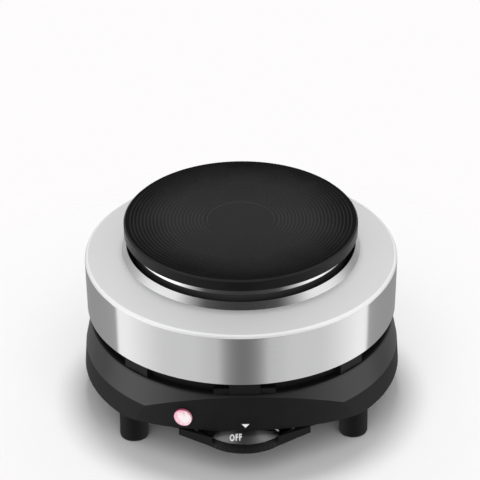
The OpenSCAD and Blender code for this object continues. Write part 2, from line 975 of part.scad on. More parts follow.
module gland_nut() {
    color("#2a2b2e")
        on_gland()
            translate([0, 0, base_out(gland_z + gland_nut_r) - base_wall - nut_seat - gland_nut_t])
                difference() {
                    cylinder(h = gland_nut_t, r = gland_nut_r, $fn = 6);
                    translate([0, 0, -1])
                        cylinder(h = gland_nut_t + 2, r = gland_r + fit);
                }
}

module terminal_block() {
    color("#e3ddcf")
        difference() {
            translate([-block_x / 2, block_cy - block_y / 2, z_base])
                cube([block_x, block_y, block_h]);
            for (s = [-1 : 1])
                translate([pole_gap * s, block_cy, z_base + block_h - pole_depth - 1])
                    cylinder(h = pole_depth + 2, r = pole_r + fit);
        }
}

module terminal_screws() {
    color("#b98f3e")
        for (s = [-1 : 1])
            translate([pole_gap * s, block_cy, 0])
                union() {
                    translate([0, 0, z_base + block_h])
                        cylinder(h = pole_head_h, r = pole_head_r);
                    translate([0, 0, z_base + block_h - pole_depth])
                        cylinder(h = pole_depth + 0.5, r = pole_r);
                }
}

// Ends of the leads
block_face = block_cy - block_y / 2;
block_wire_z = z_base + lead_low;
body_face = dial_y + body_y / 2;
body_wire_z = body_z + body_h / 2 - 0.5;
leg_low_z = pan_low - leg_low;
lamp_in = lamp_len - lens_stand;
lamp_end = [
    -(panel_r - lamp_in) * sin(lamp_turn),
    panel_cy - (panel_r - lamp_in) * cos(lamp_turn),
    lamp_z
];
lamp_way = [sin(lamp_turn), cos(lamp_turn), 0];

module wire_live() {
    color("#7a3b2e")
        wire([
            [pole_gap, block_face, block_wire_z], [pole_gap, block_face - lead_out, block_wire_z],
            [lead_side, lead_way, z_base + 1.5 * lead_low],
            [0.9 * lead_side, -1.2 * lead_way, z_base + 2 * lead_low],
            [tap_gap, body_face + 1.3 * lead_out, body_wire_z], [tap_gap, body_face, body_wire_z]
        ], wire_r);
}

module wire_load() {
    color("#303236")
        wire([
            [-tap_gap, body_face, body_wire_z], [-tap_gap, body_face + 1.3 * lead_out, body_wire_z],
            [-1.05 * lead_side, -lead_way, z_base + 3 * lead_low],
            [-1.1 * lead_side, lead_way, z_base + 4 * lead_low],
            [-0.75 * lead_side, 2.4 * lead_way, leg_low_z - 2 * lead_up],
            concat(leg_at(1), leg_low_z - lead_up), concat(leg_at(1), leg_low_z)
        ], wire_r);
}

module wire_neutral() {
    color("#39597a")
        wire([
            [0, block_face, block_wire_z], [0, block_face - 0.85 * lead_out, block_wire_z],
            [0.3 * lead_side, 2 * lead_way, z_base + 2.7 * lead_low],
            [0.6 * lead_side, 2.4 * lead_way, leg_low_z - 2.1 * lead_up],
            concat(leg_at(0), leg_low_z - lead_up), concat(leg_at(0), leg_low_z)
        ], wire_r);
}

module wire_lamp_supply() {
    start = lamp_end + [0, 0, pin_gap];
    color("#303236")
        wire([
            start, start + 0.6 * lead_out * lamp_way,
            start + 0.8 * lead_out * lamp_way + [1.6 * pin_gap, 0, 0.6 * pin_gap],
            [-body_x / 2 - 2 * pin_gap, dial_y + lead_out, body_wire_z],
            [-body_x / 2 - 1.6 * pin_gap, dial_y + 0.7 * lead_out, body_wire_z],
            [-body_x / 2, dial_y + 0.7 * lead_out, body_wire_z]
        ], thin_r);
}

module wire_lamp_return() {
    start = lamp_end - [0, 0, pin_gap];
    color("#39597a")
        wire([
            start, start + 0.7 * lead_out * lamp_way, [-1.35 * lead_side, -2 * lead_way, z_base + lead_low],
            [-1.35 * lead_side, 0.5 * lead_way, z_base + 0.85 * lead_low],
            [-1.3 * pole_gap, block_face - 1.3 * lead_out, block_wire_z],
            [-pole_gap, block_face - 0.6 * lead_out, block_wire_z], [-pole_gap, block_face, block_wire_z]
        ], thin_r);
}

hot_plate();
trim_ring();
heater_tube();
heater_ferrules();
insulation_pad();
heat_pan();
tie_bolt();
upper_spacer();
heat_shield();
lower_spacer();
tie_washer();
tie_nut();
steel_shell();
base_housing();
bottom_cover();
foot(1);  // foot_front_left
foot(0);  // foot_front_right
foot(3);  // foot_rear_left
foot(2);  // foot_rear_right
foot_screws();
control_dial();
dial_screw();
thermostat_shaft();
shaft_cam();
thermostat_bracket();
bracket_screws();
thermostat_bush();
bush_nut();
thermostat_body();
contact_leaf();
leaf_screw();
lamp_lens();
lamp_housing();
lamp_clip();
cord_gland();
gland_nut();
terminal_block();
terminal_screws();
wire_live();
wire_load();
wire_neutral();
wire_lamp_supply();
wire_lamp_return();
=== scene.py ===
"""Portable hot plate: finishes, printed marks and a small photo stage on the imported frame.

Run as a script, it dresses every solid of the frame, adds the marks of the dial and the panel,
and sets up the floor, the light and the camera.
"""
import math

import bpy
from bpy.props import FloatProperty, FloatVectorProperty, IntProperty, PointerProperty, StringProperty
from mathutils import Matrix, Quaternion, Vector


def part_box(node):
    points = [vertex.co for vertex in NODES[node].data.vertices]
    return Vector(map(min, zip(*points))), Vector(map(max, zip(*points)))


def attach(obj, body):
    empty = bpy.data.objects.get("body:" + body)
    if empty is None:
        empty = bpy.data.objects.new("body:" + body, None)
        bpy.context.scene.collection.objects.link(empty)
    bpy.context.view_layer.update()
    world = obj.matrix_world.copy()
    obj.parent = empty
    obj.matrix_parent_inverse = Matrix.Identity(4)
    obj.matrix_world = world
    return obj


bl_info = {
    "name": "Portable Hot Plate",
    "version": (1, 0, 0),
    "blender": (4, 5, 0),
    "location": "View3D > Sidebar > Hot Plate",
    "description": "Finishes, printed marks and photo stage of a small electric hot plate",
    "category": "Object",
}

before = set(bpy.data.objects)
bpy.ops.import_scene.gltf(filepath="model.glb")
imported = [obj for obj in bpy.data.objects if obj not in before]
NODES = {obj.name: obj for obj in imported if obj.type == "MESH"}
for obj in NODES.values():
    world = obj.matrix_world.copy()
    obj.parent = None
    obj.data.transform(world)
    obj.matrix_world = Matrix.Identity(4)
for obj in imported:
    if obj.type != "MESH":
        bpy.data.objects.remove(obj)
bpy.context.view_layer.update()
MM = 0.001

DIAL_LOW, DIAL_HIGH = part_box("control_dial")
DIAL_AXIS = (DIAL_LOW + DIAL_HIGH) / 2
DIAL_R = (DIAL_HIGH.x - DIAL_LOW.x) / 2
LENS_LOW, LENS_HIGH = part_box("lamp_lens")
LENS_MIDDLE = (LENS_LOW + LENS_HIGH) / 2
PLATE_LOW, PLATE_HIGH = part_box("hot_plate")
PLATE_R = (PLATE_HIGH.x - PLATE_LOW.x) / 2

# Front panel: plan radius, reach of its face in front of the middle, and where its arc is centred
PANEL_R = 77 * MM
PANEL_FACE = 65.3 * MM
PANEL_MIDDLE_Y = PANEL_R - PANEL_FACE

# Cone inside the dial's rim: width of the rim, heights above the dial's foot, and radius of its top
DIAL_RIM = 2.2 * MM
CONE_LOW = 3.3 * MM
CONE_HIGH = 6.7 * MM
CONE_TOP_R = 8.0 * MM

# Radii that part the zones of the plate and of the steel drum
RECESS_R = 15 * MM
SKIRT_R = 44 * MM
RIM_R = 48 * MM
GROOVES_R = 48.5 * MM
COLLAR_R = 60 * MM

# Plain colours of the pieces inside
CERAMIC = (0.72, 0.69, 0.62)
BRASS = (0.60, 0.43, 0.16)
ZINC = (0.50, 0.50, 0.52)
SPRING_STEEL = (0.52, 0.52, 0.54)
ALUMINISED = (0.60, 0.60, 0.62)
HEATER_SHEATH = (0.25, 0.23, 0.20)
FIBRE = (0.60, 0.57, 0.50)
LAMP_SHELL = (0.62, 0.60, 0.55)
RUBBER = (0.014, 0.014, 0.015)
NUT_BLACK = (0.018, 0.018, 0.02)
# Painted shade: near-black for the inside of the drum, standing in for the shade inside it
INSIDE_SHADE_BLACK = (0.012, 0.012, 0.0125)
# Painted shade: near-black for the heat pan, standing in for the shade in the gap beside the plate
PAN_SHADE_BLACK = (0.014, 0.014, 0.0145)
SCALE_GREY = (0.04, 0.04, 0.04)
LEAD_BROWN = (0.16, 0.05, 0.03)
LEAD_BLACK = (0.02, 0.02, 0.022)
LEAD_BLUE = (0.04, 0.10, 0.20)
ROSE = (0.86, 0.42, 0.52)
PALE_ROSE = (0.93, 0.62, 0.68)
BLACK, WHITE = (0, 0, 0), (1, 1, 1)
QUARTER_TURN = 0.25
SENSOR_MM = 36.0


class HotPlateFinishes(bpy.types.PropertyGroup):
    """Colours of the hot plate's own surfaces."""

    plate: FloatVectorProperty(
        name="Cast plate", description="Heat-proof black of the cast plate",
        subtype="COLOR", min=0, max=1, default=(0.0061, 0.0061, 0.0062))
    steel: FloatVectorProperty(
        name="Shell steel", description="Reflection colour of the satin steel drum",
        subtype="COLOR", min=0, max=1, default=(0.72, 0.72, 0.725))
    trim: FloatVectorProperty(
        name="Trim ring", description="Reflection colour of the bright ring",
        subtype="COLOR", min=0, max=1, default=(0.85, 0.85, 0.86))
    base: FloatVectorProperty(
        name="Base", description="Black of the base moulding",
        subtype="COLOR", min=0, max=1, default=(0.012, 0.0122, 0.013))
    cover: FloatVectorProperty(
        name="Bottom cover", description="Black paint of the bottom cover",
        subtype="COLOR", min=0, max=1, default=(0.012, 0.012, 0.013))
    foot: FloatVectorProperty(
        name="Feet", description="Black of the feet",
        subtype="COLOR", min=0, max=1, default=(0.009, 0.009, 0.010))
    dial: FloatVectorProperty(
        name="Dial", description="Black of the dial moulding",
        subtype="COLOR", min=0, max=1, default=(0.010, 0.010, 0.011))
    dish: FloatVectorProperty(
        name="Dial dish", description="Colour of the spun cone inside the dial's rim",
        subtype="COLOR", min=0, max=1, default=(0.5, 0.5, 0.51))
    marks: FloatVectorProperty(
        name="Marks", description="White ink of the lettering and the pointer",
        subtype="COLOR", min=0, max=1, default=(0.95, 0.95, 0.94))
    glow: FloatVectorProperty(
        name="Lamp glow", description="Colour at the heart of the lit lamp",
        subtype="COLOR", min=0, max=1, default=(1.0, 0.90, 0.91))
    glow_rim: FloatVectorProperty(
        name="Lamp rim", description="Colour at the edge of the lit lamp",
        subtype="COLOR", min=0, max=1, default=(0.36, 0.045, 0.12))


class HotPlateMarks(bpy.types.PropertyGroup):
    """Sizes and places of the printed marks."""

    off_turn: FloatProperty(
        name="Off angle",
        description="Angle of the word from the front of the dial, counter-clockwise seen from above",
        subtype="ANGLE", default=math.radians(-15))
    off_height: FloatProperty(
        name="Off height", description="Height of the word on the cone",
        unit="LENGTH", default=3.8 * MM)
    off_width: FloatProperty(
        name="Off width", description="Width of the word along the cone",
        unit="LENGTH", default=5.1 * MM)
    ring_r: FloatProperty(
        name="Mark radius", description="Radius of the ring of marks on the cone",
        unit="LENGTH", default=15.3 * MM)
    number_turn: FloatProperty(
        name="First number angle", description="Angle of the first number from the front of the dial",
        subtype="ANGLE", default=math.radians(56))
    number_step: FloatProperty(
        name="Number step", description="Angle between numbers",
        subtype="ANGLE", default=math.radians(50))
    number_count: IntProperty(
        name="Numbers", description="How many heat settings are printed", min=1, max=6, default=5)
    number_height: FloatProperty(
        name="Number height", description="Height of a number on the cone",
        unit="LENGTH", default=4.0 * MM)
    number_narrow: FloatProperty(
        name="Number narrowing", description="Width of a number as a share of its plain outline",
        subtype="FACTOR", min=0.4, max=1.2, default=0.82)
    stroke: FloatProperty(
        name="Stroke", description="How far the strokes of the letters are thickened, in letter sizes",
        min=0, default=0.042)
    spacing: FloatProperty(
        name="Letter spacing", description="Spacing of the letters as a multiple of the plain one",
        min=0.5, default=1.26)
    ink: FloatProperty(
        name="Ink", description="How far the ink stands off the surface",
        unit="LENGTH", default=0.08 * MM)
    pointer_width: FloatProperty(
        name="Pointer width", description="Width of the pointer on the panel",
        unit="LENGTH", default=3.25 * MM)
    pointer_height: FloatProperty(
        name="Pointer height", description="Height of the pointer on the panel",
        unit="LENGTH", default=1.85 * MM)
    pointer_tip: FloatProperty(
        name="Pointer tip", description="Height of the pointer's tip above the table",
        unit="LENGTH", default=21.9 * MM)
    panel_curve: FloatProperty(
        name="Panel curve", description="Plan radius of the front panel",
        unit="LENGTH", default=PANEL_R)
    pointer_shift: FloatProperty(
        name="Pointer shift", description="How far the pointer stands to the right of the middle",
        unit="LENGTH", default=0.2 * MM)
    word: StringProperty(
        name="Word", description="Word at the rest position of the dial", default="OFF")


class HotPlateStage(bpy.types.PropertyGroup):
    """Camera, floor and light."""

    distance: FloatProperty(
        name="Camera distance", description="Distance of the camera from its aim",
        unit="LENGTH", default=1.5)
    azimuth: FloatProperty(
        name="Azimuth", description="Angle of the camera round the hot plate",
        subtype="ANGLE", default=math.radians(-0.99))
    elevation: FloatProperty(
        name="Elevation", description="Angle of the camera above the horizon",
        subtype="ANGLE", default=math.radians(31.208))
    aim: FloatVectorProperty(
        name="Aim", description="Point in the middle of the picture",
        subtype="TRANSLATION", unit="LENGTH", default=(-0.00039, 0.0, 0.07449))
    lens: FloatProperty(
        name="Lens", description="Focal length in millimetres on a sensor of 36 mm", default=262.96)
    roll: FloatProperty(
        name="Roll", description="Turn of the camera about its own axis",
        subtype="ANGLE", default=math.radians(0.45))
    floor: FloatProperty(
        name="Floor", description="Width of the floor", unit="LENGTH", default=14.0)
    room: FloatProperty(
        name="Room light", description="Strength of the light of the room", min=0, default=1.0)
    fill: FloatProperty(
        name="Fill light", description="Strength of the even light on matt surfaces",
        min=0, default=0.38)
    key: FloatProperty(
        name="Key light", description="Strength of the wide light from the front",
        min=0, default=1.15)
    key_tilt: FloatProperty(
        name="Key tilt", description="How far the wide light leans to the front",
        subtype="ANGLE", default=math.radians(52))
    key_width: FloatProperty(
        name="Key width", description="Angle that the wide light spans, which softens shadows",
        subtype="ANGLE", default=math.radians(80))
    box_power: FloatProperty(
        name="Soft box power", description="Power of the round soft box overhead",
        unit="POWER", min=0, default=2.3)
    box_height: FloatProperty(
        name="Soft box height", description="Height of the soft box above the floor",
        unit="LENGTH", default=0.7)
    box_width: FloatProperty(
        name="Soft box width", description="Width of the round soft box",
        unit="LENGTH", default=0.18)
    box_back: FloatProperty(
        name="Soft box shift", description="How far the soft box hangs to the back",
        unit="LENGTH", default=0.08)
    near: FloatProperty(
        name="Floor near", description="Distance at which the floor starts to fade into the backdrop",
        unit="LENGTH", default=0.1)
    far: FloatProperty(
        name="Floor far", description="Distance at which the floor has become the backdrop",
        unit="LENGTH", default=0.2)
    floor_colour: FloatVectorProperty(
        name="Floor colour", description="Pale colour of the floor",
        subtype="COLOR", min=0, max=1, default=(0.955, 0.945, 0.949))
    backdrop: FloatVectorProperty(
        name="Backdrop", description="White of the backdrop behind the floor",
        subtype="COLOR", min=0, max=1, default=(0.985, 0.97, 0.976))


class NodeSheet:
    """Short-hand for laying out the nodes of one material or world."""

    def __init__(self, tree):
        self.tree = tree

    def add(self, kind, **values):
        """A new node with some of its settings."""
        node = self.tree.nodes.new(kind)
        for key, value in values.items():
            setattr(node, key, value)
        return node

    def join(self, source, target):
        """Links an output to an input."""
        self.tree.links.new(source, target)

    def math(self, operation, first, second=None, clamp=False):
        """A sum on numbers or on the outputs of other nodes."""
        node = self.add("ShaderNodeMath", operation=operation, use_clamp=clamp)
        for socket, value in zip(node.inputs, (first, second)):
            self.feed(value, socket)
        return node.outputs[0]

    def vector(self, operation, first, second=None, output="Vector"):
        """A sum on vectors; output names which result is wanted."""
        node = self.add("ShaderNodeVectorMath", operation=operation)
        for socket, value in zip(node.inputs, (first, second)):
            self.feed(value, socket)
        return node.outputs[output]

    def feed(self, value, socket):
        """Links an output to an input, or sets the input to a plain value."""
        if value is None:
            return
        if isinstance(value, bpy.types.NodeSocket):
            self.join(value, socket)
        else:
            socket.default_value = value

    def place(self):
        """Position on the piece, in metres."""
        return self.add("ShaderNodeTexCoord").outputs["Object"]

    def noise(self, vector, scale, detail=3.0, roughness=0.55):
        """Cloudy pattern; scale counts the clouds in a metre."""
        node = self.add("ShaderNodeTexNoise")
        node.inputs["Scale"].default_value = scale
        node.inputs["Detail"].default_value = detail
        node.inputs["Roughness"].default_value = roughness
        self.join(vector, node.inputs["Vector"])
        return node.outputs["Fac"]

    def ramp(self, value, stops):
        """Colour picked by a value from pairs of place and colour."""
        node = self.add("ShaderNodeValToRGB")
        marks = node.color_ramp.elements
        while len(marks) < len(stops):
            marks.new(0.5)
        for mark, (place, colour) in zip(marks, stops):
            mark.position = place
            mark.color = (*colour, 1)
        self.join(value, node.inputs["Fac"])
        return node.outputs["Color"]

    def spread(self, value, low, high):
        """Maps 0 to 1 onto low to high."""
        node = self.add("ShaderNodeMapRange")
        node.inputs["To Min"].default_value = low
        node.inputs["To Max"].default_value = high
        self.join(value, node.inputs["Value"])
        return node.outputs["Result"]

    def radius(self, vector, middle=(0.0, 0.0, 0.0)):
        """Distance from an upright axis."""
        moved = self.vector("SUBTRACT", vector, middle)
        flat = self.vector("MULTIPLY", moved, (1.0, 1.0, 0.0))
        return self.vector("LENGTH", flat, output="Value")

    def bump(self, height, strength, distance, normal=None):
        """Normal of a surface with a fine relief, which may lie on another relief."""
        node = self.add("ShaderNodeBump")
        node.inputs["Strength"].default_value = strength
        node.inputs["Distance"].default_value = distance
        self.join(height, node.inputs["Height"])
        if normal is not None:
            self.join(normal, node.inputs["Normal"])
        return node.outputs["Normal"]


def new_finish(name):
    """A fresh material with its sheet of nodes and its shader."""
    material = bpy.data.materials.new(name)
    material.use_nodes = True
    sheet = NodeSheet(material.node_tree)
    shader = next(n for n in material.node_tree.nodes if n.type == "BSDF_PRINCIPLED")
    return material, sheet, shader


def shade(colour, factor):
    """A colour made darker or lighter."""
    return tuple(min(1.0, c * factor) for c in colour)


def two_tone(sheet, shader, value, colour, spread):
    """Lets a colour vary a little between a darker and a lighter tone."""
    tones = sheet.ramp(value, [(0.3, shade(colour, 1 - spread)), (0.7, shade(colour, 1 + spread))])
    sheet.join(tones, shader.inputs["Base Color"])


def cast_black(name, colour, roughness, specular):
    """Heat-proof black on cast iron, with the grain of the casting and fine turning marks; its middle
    is painted lighter and its rim darker as a painted fall-off of light, broken by random patches of
    tone.
    """
    material, sheet, shader = new_finish(name)
    place = sheet.place()
    grain = sheet.noise(place, scale=1500, detail=4.0, roughness=0.6)
    reach = sheet.radius(place)
    patches = sheet.spread(sheet.noise(place, scale=60), -0.12, 0.12)
    # Painted light: the tone falls from a lighter middle to a darker rim, broken by random patches of
    # tone
    painted_falloff_and_patches = sheet.math("ADD", sheet.math("DIVIDE", reach, PLATE_R), patches)
    tones = sheet.ramp(painted_falloff_and_patches, [
        (0.25, shade(colour, 3.5)), (0.62, shade(colour, 2.9)), (0.92, shade(colour, 0.5))])
    sheet.join(tones, shader.inputs["Base Color"])
    sheet.join(sheet.spread(grain, roughness - 0.08, roughness + 0.08), shader.inputs["Roughness"])
    pitch = 0.31 * MM
    turning = sheet.math("SINE", sheet.math("MULTIPLY", reach, 2 * math.pi / pitch))
    normal = sheet.bump(turning, strength=0.10, distance=0.02 * MM)
    normal = sheet.bump(grain, strength=0.30, distance=0.05 * MM, normal=normal)
    sheet.join(normal, shader.inputs["Normal"])
    shader.inputs["Specular IOR Level"].default_value = specular
    return material


def spun_steel(name, colour, roughness, line, anisotropy, metal=1.0, haze_spread=0.03):
    """Satin sheet steel with fine lines spun round the axis; less metal makes it paler and duller."""
    material, sheet, shader = new_finish(name)
    place = sheet.place()
    apart = sheet.add("ShaderNodeSeparateXYZ")
    sheet.join(place, apart.inputs[0])
    reach = sheet.radius(place)
    out_mm = sheet.math("MULTIPLY", reach, 1.0 / MM)
    up_mm = sheet.math("MULTIPLY", apart.outputs["Z"], 1.0 / MM)
    turn = sheet.math("ARCTAN2", apart.outputs["Y"], apart.outputs["X"])
    stretch = 0.35
    lay = sheet.add("ShaderNodeCombineXYZ")
    sheet.join(sheet.math("ADD", out_mm, up_mm), lay.inputs["X"])
    sheet.join(sheet.math("MULTIPLY", turn, stretch), lay.inputs["Y"])
    strands = sheet.noise(lay.outputs[0], scale=9.0, detail=4.0, roughness=0.7)
    haze = sheet.noise(place, scale=45)
    two_tone(sheet, shader, strands, colour, 0.035)
    smooth = sheet.math(
        "ADD", sheet.spread(strands, -haze_spread, haze_spread),
        sheet.spread(haze, roughness - haze_spread, roughness + haze_spread))
    sheet.join(smooth, shader.inputs["Roughness"])
    sheet.join(sheet.bump(strands, strength=line, distance=0.01 * MM), shader.inputs["Normal"])
    shader.inputs["Metallic"].default_value = metal
    shader.inputs["Anisotropic"].default_value = anisotropy
    shader.inputs["Anisotropic Rotation"].default_value = QUARTER_TURN
    way = sheet.add("ShaderNodeTangent", direction_type="RADIAL", axis="Z")
    sheet.join(way.outputs[0], shader.inputs["Tangent"])
    return material


def bright_ring(colour):
    """Polished ring, a little hazed by heat, shaded as if its wall were slightly domed."""
    material, sheet, shader = new_finish("bright_ring")
    haze = sheet.noise(sheet.place(), scale=90)
    two_tone(sheet, shader, haze, colour, 0.04)
    sheet.join(sheet.spread(haze, 0.06, 0.14), shader.inputs["Roughness"])
    flat = sheet.add("ShaderNodeNewGeometry").outputs["Normal"]
    lean = (0.0, 0.0, 0.42)
    domed = sheet.vector("NORMALIZE", sheet.vector("ADD", flat, lean))
    sheet.join(domed, shader.inputs["Normal"])
    shader.inputs["Metallic"].default_value = 1.0
    return material


def moulded_black(name, colour, roughness, grain_scale, grain, specular=0.5):
    """Black moulding with a fine tool grain and faint handling haze."""
    material, sheet, shader = new_finish(name)
    place = sheet.place()
    fine = sheet.noise(place, scale=grain_scale, detail=2.0)
    haze = sheet.noise(place, scale=55, detail=4.0, roughness=0.6)
    two_tone(sheet, shader, haze, colour, 0.18)
    sheet.join(sheet.spread(haze, roughness - 0.05, roughness + 0.07), shader.inputs["Roughness"])
    sheet.join(sheet.bump(fine, strength=grain, distance=0.02 * MM), shader.inputs["Normal"])
    shader.inputs["Specular IOR Level"].default_value = specular
    return material


def plain_metal(name, colour, roughness, haze_scale=160):
    """Plated or drawn metal of the small parts."""
    material, sheet, shader = new_finish(name)
    place = sheet.place()
    haze = sheet.noise(place, scale=haze_scale, detail=4.0, roughness=0.6)
    fine = sheet.noise(place, scale=2600, detail=2.0)
    two_tone(sheet, shader, haze, colour, 0.12)
    sheet.join(sheet.spread(haze, roughness - 0.08, roughness + 0.1), shader.inputs["Roughness"])
    sheet.join(sheet.bump(fine, strength=0.12, distance=0.02 * MM), shader.inputs["Normal"])
    shader.inputs["Metallic"].default_value = 1.0
    return material


def pressed_body(name, colour, roughness, grain_scale, grain):
    """Ceramic, fibre or rubber with a visible grain."""
    material, sheet, shader = new_finish(name)
    place = sheet.place()
    fine = sheet.noise(place, scale=grain_scale, detail=4.0, roughness=0.65)
    cloud = sheet.noise(place, scale=120)
    two_tone(sheet, shader, cloud, colour, 0.1)
    sheet.join(sheet.spread(fine, roughness - 0.06, roughness + 0.08), shader.inputs["Roughness"])
    sheet.join(sheet.bump(fine, strength=grain, distance=0.05 * MM), shader.inputs["Normal"])
    return material


def fired_ceramic(name):
    """Pale unglazed ceramic of the terminal block, the ferrules and the thermostat."""
    return pressed_body(name, CERAMIC, roughness=0.5, grain_scale=1600, grain=0.25)


def lit_lens(glow, rim):
    """Lit lamp: pale heart, rose body and a deep edge, with the bulb a little to one side."""
    material, sheet, shader = new_finish("lit_lens")
    out = Vector((LENS_MIDDLE.x, LENS_MIDDLE.y - PANEL_MIDDLE_Y, 0)).normalized()
    side = Vector((-out.y, out.x, 0))
    place = sheet.place()
    bulb_aside, bulb_above = 1.2 * MM, 0.5 * MM
    lens_r, heart_r = 3.9 * MM, 4.2 * MM
    own_colour = 0.28

    def off_axis(middle):
        """Distance from the line through a point along the lens's axis."""
        arm = sheet.vector("SUBTRACT", place, tuple(middle))
        return sheet.vector("LENGTH", sheet.vector("CROSS_PRODUCT", arm, tuple(out)), output="Value")

    bulb = LENS_MIDDLE + side * bulb_aside + Vector((0, 0, bulb_above))
    edge = sheet.math("DIVIDE", off_axis(LENS_MIDDLE), lens_r)
    heart = sheet.math("DIVIDE", off_axis(bulb), heart_r)
    mottle = sheet.noise(place, scale=850, roughness=0.6)
    uneven = sheet.math("ADD", heart, sheet.spread(mottle, -1.0, 0.9))
    body = sheet.ramp(uneven, [(0.0, glow), (0.35, shade(glow, 0.98)), (0.75, PALE_ROSE), (1.0, ROSE)])
    ring = sheet.ramp(edge, [(0.965, BLACK), (1.0, WHITE)])
    mixed = sheet.add("ShaderNodeMix", data_type="RGBA")
    sheet.join(ring, mixed.inputs["Factor"])
    sheet.join(body, mixed.inputs["A"])
    mixed.inputs["B"].default_value = (*rim, 1)
    sheet.join(mixed.outputs["Result"], shader.inputs["Emission Color"])
    shader.inputs["Emission Strength"].default_value = 0.72
    dim = sheet.add("ShaderNodeMix", data_type="RGBA", blend_type="MULTIPLY")
    dim.inputs["Factor"].default_value = 1.0
    sheet.join(mixed.outputs["Result"], dim.inputs["A"])
    dim.inputs["B"].default_value = (own_colour, own_colour, own_colour, 1)
    sheet.join(dim.outputs["Result"], shader.inputs["Base Color"])
    sheet.join(sheet.bump(mottle, strength=0.2, distance=0.05 * MM), shader.inputs["Normal"])
    shader.inputs["Roughness"].default_value = 0.16
    return material


def printed_ink(name, colour, lift):
    """White pad-printed ink, slightly uneven; lift makes it glow a little, painted light that keeps it
    white in shade.
    """
    material, sheet, shader = new_finish(name)
    # Painted light: the ink glows by lift so that it reads white where it lies in shade
    shader.inputs["Emission Color"].default_value = (*colour, 1)
    shader.inputs["Emission Strength"].default_value = lift
    patch = sheet.noise(sheet.place(), scale=900)
    two_tone(sheet, shader, patch, colour, 0.05)
    sheet.join(sheet.spread(patch, 0.4, 0.55), shader.inputs["Roughness"])
    return material


def dress(material, *names):
    """Puts a finish on solids of the frame."""
    for name in names:
        slots = NODES[name].data.materials
        slots.clear()
        slots.append(material)


def dress_faces(name, finishes, choose):
    """Puts several finishes on one solid; choose names a face's finish from its middle and normal."""
    mesh = NODES[name].data
    mesh.materials.clear()
    for material in finishes.values():
        mesh.materials.append(material)
    order = list(finishes)
    for face in mesh.polygons:
        face.material_index = order.index(choose(face.center, face.normal))


def put(name, vertices, faces, material, body):
    """Makes a piece from points and faces and lets it ride on a body."""
    mesh = bpy.data.meshes.new(name)
    mesh.from_pydata([tuple(v) for v in vertices], [], faces)
    mesh.update()
    piece = bpy.data.objects.new(name, mesh)
    bpy.context.scene.collection.objects.link(piece)
    mesh.materials.append(material)
    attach(piece, body)


def letters(text, stroke, spacing):
    """Flat points and faces of a text in a unit square about its middle, and its width to height."""
    curve = bpy.data.curves.new("letter_outline", "FONT")
    curve.body = text
    curve.resolution_u = 6
    curve.offset = stroke
    curve.space_character = spacing
    holder = bpy.data.objects.new("letter_outline", curve)
    bpy.context.scene.collection.objects.link(holder)
    bpy.context.view_layer.update()
    graph = bpy.context.evaluated_depsgraph_get()
    mesh = bpy.data.meshes.new_from_object(holder.evaluated_get(graph))
    points = [v.co.copy() for v in mesh.vertices]
    faces = [tuple(p.vertices) for p in mesh.polygons]
    bpy.data.objects.remove(holder)
    bpy.data.curves.remove(curve)
    bpy.data.meshes.remove(mesh)
    if not points:
        raise RuntimeError("no outline for the text " + text)
    low = Vector((min(p.x for p in points), min(p.y for p in points)))
    high = Vector((max(p.x for p in points), max(p.y for p in points)))
    size = high - low
    flat = [((p.x - low.x) / size.x - 0.5, (p.y - low.y) / size.y - 0.5) for p in points]
    return flat, faces, size.x / size.y


def cone_height(reach):
    """Height of the dial's cone at a distance from its axis."""
    foot_r = DIAL_R - DIAL_RIM
    rise = (CONE_HIGH - CONE_LOW) * (foot_r - reach) / (foot_r - CONE_TOP_R)
    return DIAL_LOW.z + CONE_LOW + rise


def cone_text(marks, text, turn, height, width=None, lean=None):
    """Points and faces of a text laid on the cone; unless it leans, its foot points to the rim."""
    flat, faces, ratio = letters(text, marks.stroke, marks.spacing)
    if width is None:
        width = height * ratio * marks.number_narrow
    if lean is None:
        lean = turn
    slope = math.atan2(CONE_HIGH - CONE_LOW, DIAL_R - DIAL_RIM - CONE_TOP_R)
    across = Vector((math.cos(lean), math.sin(lean)))
    inward = Vector((-math.sin(lean), math.cos(lean)))
    middle = Vector((math.sin(turn), -math.cos(turn))) * marks.ring_r
    points = []
    for u, v in flat:
        spot = middle + across * (u * width) + inward * (v * height * math.cos(slope))
        level = cone_height(spot.length) + marks.ink
        points.append(Vector((DIAL_AXIS.x + spot.x, DIAL_AXIS.y + spot.y, level)))
    return points, faces


